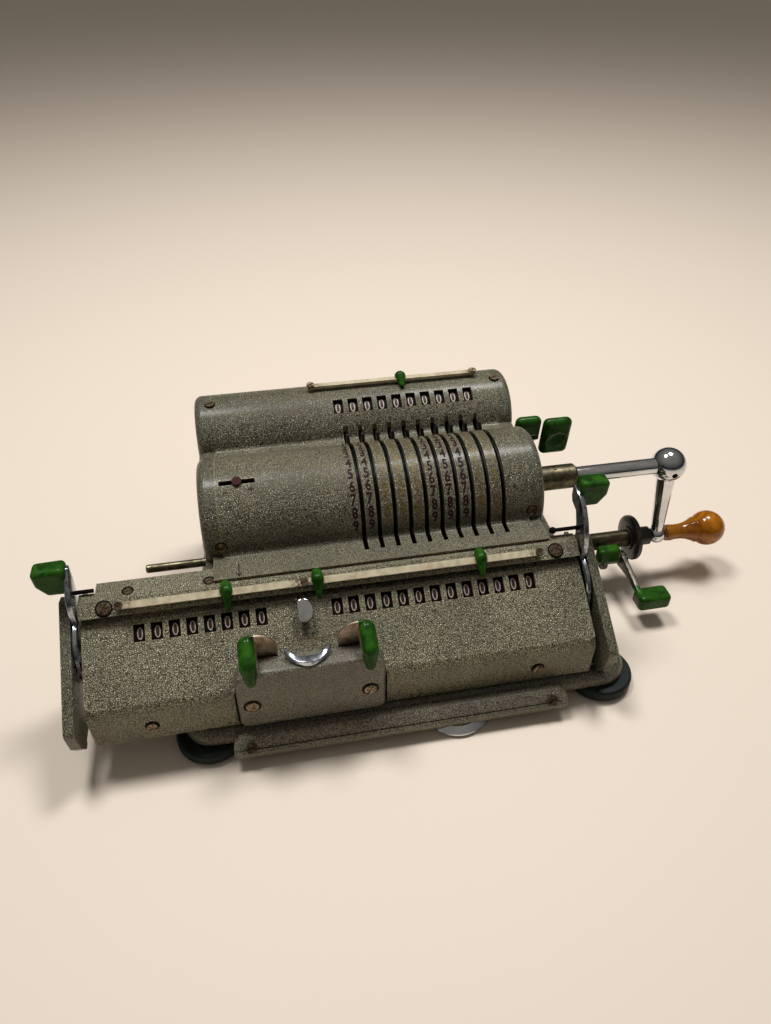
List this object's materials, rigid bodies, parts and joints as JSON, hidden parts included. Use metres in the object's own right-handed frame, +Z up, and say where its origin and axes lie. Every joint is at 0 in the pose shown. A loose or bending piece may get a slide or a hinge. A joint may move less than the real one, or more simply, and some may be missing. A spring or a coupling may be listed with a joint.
{
  "type": "mechanical calculator",
  "caption": "Pinwheel desk calculator with a crank, setting levers, three registers and a sliding carriage with clearing levers.",
  "frame": {"origin": "middle of the outline on the table, under the feet", "axes": "+X along the carriage to the crank side, +Y to the back, +Z up"},
  "size_m": [0.3719, 0.1805, 0.118],
  "materials": {
    "hammer_enamel": "grey-green hammertone enamel",
    "foot_rubber": "matt dark rubber",
    "ground_steel": "ground steel",
    "ring_steel": "blackened steel",
    "browned_screws": "browned slotted screws",
    "bearing_bronze": "dull grey bronze",
    "cream_plate": "cream enamelled strip",
    "black_plastic": "dark brown-black moulding",
    "chrome_plate": "polished chrome",
    "dial_black": "black dials with pale figures",
    "gear_brass": "cut brass",
    "amber_plastic": "polished amber plastic",
    "green_plastic": "glossy deep green plastic",
    "sign_red": "dark red enamel"
  },
  "bodies": {
    "frame": {"base_casting": "hammer_enamel", "rubber_feet": "foot_rubber", "front_rail_cover": "hammer_enamel", "front_rail": "ground_steel", "back_rail": "ground_steel", "left_side_frame": "hammer_enamel", "right_side_frame": "hammer_enamel", "housing_cover": "hammer_enamel", "housing_screws": "browned_screws", "crank_bearing": "bearing_bronze", "guide_rod": "ground_steel", "register_marker_rail": "cream_plate", "rest_tube": "bearing_bronze", "rest_disc": "black_plastic", "bell": "chrome_plate", "lever_shaft": "ground_steel", "register_shaft": "ground_steel", "transfer_shaft": "ground_steel"},
    "crank": {"main_shaft": "chrome_plate", "pinwheel_drum": "ground_steel", "crank_arm": "chrome_plate"},
    "hand_grip": {"crank_grip": "amber_plastic"},
    "carriage": {"carriage_frame": "ground_steel", "carriage_cover": "hammer_enamel", "carriage_top_plate": "hammer_enamel", "left_cheek": "hammer_enamel", "right_cheek": "hammer_enamel", "carriage_screws": "browned_screws", "carriage_marker_rails": "cream_plate", "dial_shaft": "ground_steel", "shift_block": "hammer_enamel"},
    "transfer_gears": {"transfer_gears": "gear_brass"},
    "register_dials": {"register_dials": "dial_black"},
    "counter_dials": {"counter_dials": "dial_black"},
    "result_dials": {"result_dials": "dial_black"},
    "left_clearing_lever": {"left_clearing_lever": "chrome_plate", "left_lever_grip": "green_plastic"},
    "right_clearing_lever": {"right_clearing_lever": "chrome_plate", "right_lever_grip": "green_plastic"},
    "counter_marker": {"counter_marker": "green_plastic"},
    "result_marker_left": {"result_marker_left": "green_plastic"},
    "result_marker_right": {"result_marker_right": "green_plastic"},
    "register_marker": {"register_marker": "green_plastic"},
    "left_shift_wing": {"left_shift_wing": "green_plastic"},
    "right_shift_wing": {"right_shift_wing": "green_plastic"},
    "release_trigger": {"release_trigger": "chrome_plate"},
    "carry_knob": {"carry_knob": "chrome_plate"},
    "sign_pointer": {"sign_pointer": "sign_red"},
    "zeroing_lever": {"zeroing_lever": "green_plastic"},
    "front_base_lever": {"front_base_lever": "green_plastic"},
    "setting_ring_1": {"setting_ring_1": "ring_steel"},
    "setting_ring_2": {"setting_ring_2": "ring_steel"},
    "setting_ring_3": {"setting_ring_3": "ring_steel"},
    "setting_ring_4": {"setting_ring_4": "ring_steel"},
    "setting_ring_5": {"setting_ring_5": "ring_steel"},
    "setting_ring_6": {"setting_ring_6": "ring_steel"},
    "setting_ring_7": {"setting_ring_7": "ring_steel"},
    "setting_ring_8": {"setting_ring_8": "ring_steel"},
    "setting_ring_9": {"setting_ring_9": "ring_steel"},
    "setting_ring_10": {"setting_ring_10": "ring_steel"}
  },
  "joints": [
    {"name": "carriage_slide", "type": "slide", "parent": "frame", "child": "carriage", "axis": [1, 0, 0], "range_m": [-0.008, 0.048]},
    {"name": "crank_turn", "type": "hinge", "parent": "frame", "child": "crank", "pos_m": [0.06065, 0.01325, 0.0736], "axis": [1, 0, 0], "continuous": true},
    {"name": "grip_turn", "type": "hinge", "parent": "crank", "child": "hand_grip", "pos_m": [0.15215, 0.00621, 0.02814], "axis": [1, 0, 0], "continuous": true},
    {"name": "setting_lever_1", "type": "hinge", "parent": "crank", "child": "setting_ring_1", "pos_m": [-0.03385, 0.01325, 0.0736], "axis": [1, 0, 0], "range_deg": [0, 114.3]},
    {"name": "setting_lever_2", "type": "hinge", "parent": "crank", "child": "setting_ring_2", "pos_m": [-0.02585, 0.01325, 0.0736], "axis": [1, 0, 0], "range_deg": [0, 114.3]},
    {"name": "setting_lever_3", "type": "hinge", "parent": "crank", "child": "setting_ring_3", "pos_m": [-0.01785, 0.01325, 0.0736], "axis": [1, 0, 0], "range_deg": [0, 114.3]},
    {"name": "setting_lever_4", "type": "hinge", "parent": "crank", "child": "setting_ring_4", "pos_m": [-0.00985, 0.01325, 0.0736], "axis": [1, 0, 0], "range_deg": [0, 114.3]},
    {"name": "setting_lever_5", "type": "hinge", "parent": "crank", "child": "setting_ring_5", "pos_m": [-0.00185, 0.01325, 0.0736], "axis": [1, 0, 0], "range_deg": [0, 114.3]},
    {"name": "setting_lever_6", "type": "hinge", "parent": "crank", "child": "setting_ring_6", "pos_m": [0.00615, 0.01325, 0.0736], "axis": [1, 0, 0], "range_deg": [0, 114.3]},
    {"name": "setting_lever_7", "type": "hinge", "parent": "crank", "child": "setting_ring_7", "pos_m": [0.01415, 0.01325, 0.0736], "axis": [1, 0, 0], "range_deg": [0, 114.3]},
    {"name": "setting_lever_8", "type": "hinge", "parent": "crank", "child": "setting_ring_8", "pos_m": [0.02215, 0.01325, 0.0736], "axis": [1, 0, 0], "range_deg": [0, 114.3]},
    {"name": "setting_lever_9", "type": "hinge", "parent": "crank", "child": "setting_ring_9", "pos_m": [0.03015, 0.01325, 0.0736], "axis": [1, 0, 0], "range_deg": [0, 114.3]},
    {"name": "setting_lever_10", "type": "hinge", "parent": "crank", "child": "setting_ring_10", "pos_m": [0.03815, 0.01325, 0.0736], "axis": [1, 0, 0], "range_deg": [0, 114.3]},
    {"name": "transfer_gears_turn", "type": "hinge", "parent": "frame", "child": "transfer_gears", "pos_m": [0.00215, -0.02226, 0.0554], "axis": [1, 0, 0], "continuous": true},
    {"name": "left_clearing", "type": "hinge", "parent": "carriage", "child": "left_clearing_lever", "pos_m": [-0.17185, -0.03901, 0.04681], "axis": [1, 0, 0], "range_deg": [0, 60], "stiffness_Nm_per_rad": 0.05, "springref_deg": -11.46},
    {"name": "right_clearing", "type": "hinge", "parent": "carriage", "child": "right_clearing_lever", "pos_m": [0.07265, -0.03901, 0.04681], "axis": [1, 0, 0], "range_deg": [0, 60], "stiffness_Nm_per_rad": 0.05, "springref_deg": -11.46},
    {"name": "counter_dials_turn", "type": "hinge", "parent": "carriage", "child": "counter_dials", "pos_m": [-0.11585, -0.03901, 0.04681], "axis": [1, 0, 0], "range_deg": [0, 360]},
    {"name": "result_dials_turn", "type": "hinge", "parent": "carriage", "child": "result_dials", "pos_m": [-0.00385, -0.03901, 0.04681], "axis": [1, 0, 0], "range_deg": [0, 360]},
    {"name": "zeroing", "type": "hinge", "parent": "frame", "child": "zeroing_lever", "pos_m": [0.06815, 0.06125, 0.07], "axis": [1, 0, 0], "range_deg": [0, 30], "stiffness_Nm_per_rad": 0.1, "springref_deg": -17.19},
    {"name": "register_dials_turn", "type": "hinge", "parent": "frame", "child": "register_dials", "pos_m": [0.00015, 0.06067, 0.09503], "axis": [1, 0, 0], "range_deg": [0, 360]},
    {"name": "front_lever_press", "type": "hinge", "parent": "frame", "child": "front_base_lever", "pos_m": [0.11215, -0.00275, 0.0208], "axis": [1, 0, 0], "range_deg": [0, 12], "stiffness_Nm_per_rad": 0.1, "springref_deg": -17.19},
    {"name": "counter_marker_slide", "type": "slide", "parent": "carriage", "child": "counter_marker", "axis": [1, 0, 0], "range_m": [-0.042, 0.03]},
    {"name": "result_marker_left_slide", "type": "slide", "parent": "carriage", "child": "result_marker_left", "axis": [1, 0, 0], "range_m": [0, 0.07]},
    {"name": "result_marker_right_slide", "type": "slide", "parent": "carriage", "child": "result_marker_right", "axis": [1, 0, 0], "range_m": [-0.07, 0.0235]},
    {"name": "register_marker_slide", "type": "slide", "parent": "frame", "child": "register_marker", "axis": [1, 0, 0], "range_m": [-0.043, 0.034]},
    {"name": "left_wing_squeeze", "type": "hinge", "parent": "carriage", "child": "left_shift_wing", "pos_m": [-0.08885, -0.06675, 0.0537], "axis": [0, 1, 0], "range_deg": [0, 8], "stiffness_Nm_per_rad": 0.05, "springref_deg": -11.46},
    {"name": "right_wing_squeeze", "type": "hinge", "parent": "carriage", "child": "right_shift_wing", "pos_m": [-0.04835, -0.06675, 0.0537], "axis": [0, -1, 0], "range_deg": [0, 8], "stiffness_Nm_per_rad": 0.05, "springref_deg": -11.46},
    {"name": "trigger_press", "type": "slide", "parent": "carriage", "child": "release_trigger", "axis": [0, 0, -1], "range_m": [0, 0.0025], "stiffness_N_per_m": 300, "springref_m": -0.002},
    {"name": "carry_knob_turn", "type": "hinge", "parent": "carriage", "child": "carry_knob", "pos_m": [-0.06785, -0.04781, 0.05811], "axis": [0, -0.5693, 0.8221], "range_deg": [0, 90]},
    {"name": "sign_pointer_slide", "type": "slide", "parent": "frame", "child": "sign_pointer", "axis": [1, 0, 0], "range_m": [-0.006, 0.006]}
  ],
  "couplings": [
    {"joint": "counter_dials_turn", "follows": "left_clearing", "ratio": 6},
    {"joint": "result_dials_turn", "follows": "right_clearing", "ratio": 6},
    {"joint": "register_dials_turn", "follows": "zeroing", "ratio": 12}
  ]
}
